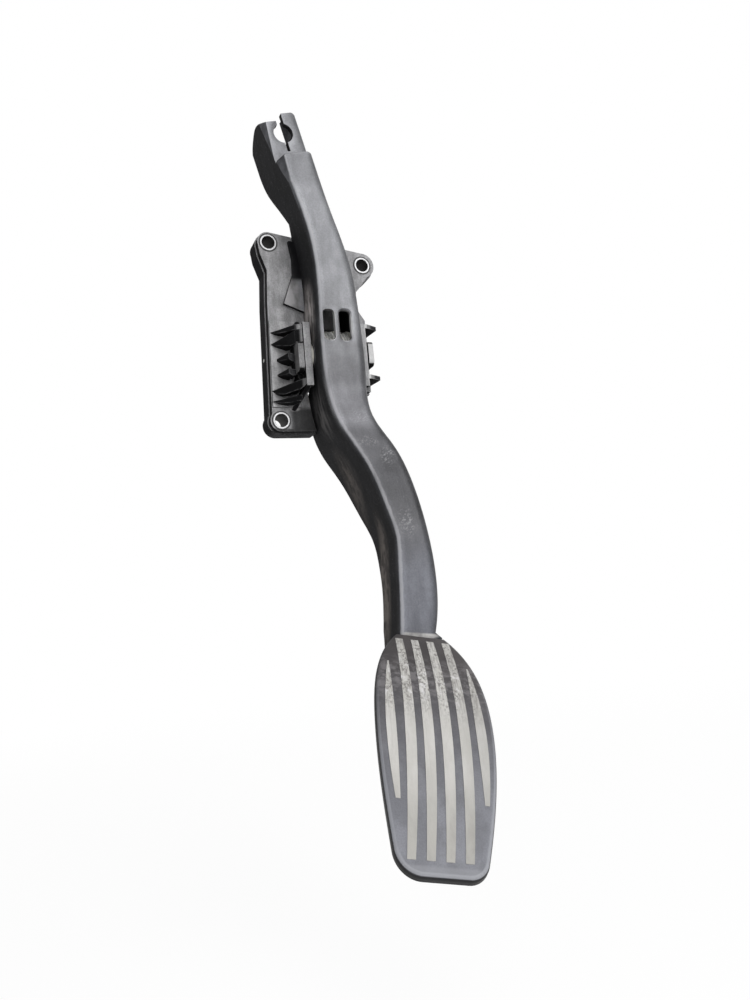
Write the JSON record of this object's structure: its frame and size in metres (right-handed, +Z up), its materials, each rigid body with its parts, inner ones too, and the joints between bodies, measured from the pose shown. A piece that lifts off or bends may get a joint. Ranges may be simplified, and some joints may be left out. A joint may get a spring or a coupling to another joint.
{
  "type": "accelerator pedal",
  "caption": "Hanging accelerator pedal: a black moulded arm with a cable hook, sprung about a pin in a bolted bracket, with an oval tread pad inlaid with light strips.",
  "frame": {"origin": "on the mounting face of the bracket, straight behind the middle of the pivot pin", "axes": "+X along the pivot pin, to the right as the driver sees the pedal; +Y out of the mounting face into the bulkhead; +Z up, towards the cable hook"},
  "size_m": [0.0636, 0.1366, 0.3347],
  "materials": {
    "bracket_plastic": "black glass-filled nylon, dull, dusty in the corners",
    "arm_plastic": "black glass-filled nylon, satin and scuffed, with dried dust on the sides",
    "pad_rubber": "dark grey, browner and worn towards the top",
    "strip_plastic": "pale cream grey, with dark wear streaks in the upper third",
    "sleeve_steel": "bare turned steel",
    "pin_steel": "ground steel",
    "spring_steel": "zinc plated wire",
    "bush_plastic": "natural acetal, lightly greased"
  },
  "bodies": {
    "bracket": {"bracket": "bracket_plastic", "sleeve_upper_left": "sleeve_steel", "sleeve_lower_left": "sleeve_steel", "sleeve_upper_right": "sleeve_steel", "pivot_pin": "pin_steel", "thrust_washer_left": "bush_plastic", "thrust_washer_right": "bush_plastic", "spring_spool": "bush_plastic", "return_spring_left": "spring_steel", "return_spring_right": "spring_steel"},
    "pedal": {"pedal_arm": "arm_plastic", "tread_pad": "pad_rubber", "tread_strip_1": "strip_plastic", "tread_strip_2": "strip_plastic", "tread_strip_3": "strip_plastic", "tread_strip_4": "strip_plastic", "tread_strip_left": "strip_plastic", "tread_strip_right": "strip_plastic", "pivot_bush_left": "bush_plastic", "pivot_bush_right": "bush_plastic"}
  },
  "joints": [
    {"name": "pedal_pivot", "type": "hinge", "parent": "bracket", "child": "pedal", "pos_m": [0, -0.022, 0], "axis": [1, 0, 0], "range_deg": [0, 18], "stiffness_Nm_per_rad": 6.4, "springref_deg": -17.99, "deforming": ["return_spring_left", "return_spring_right"]}
  ]
}
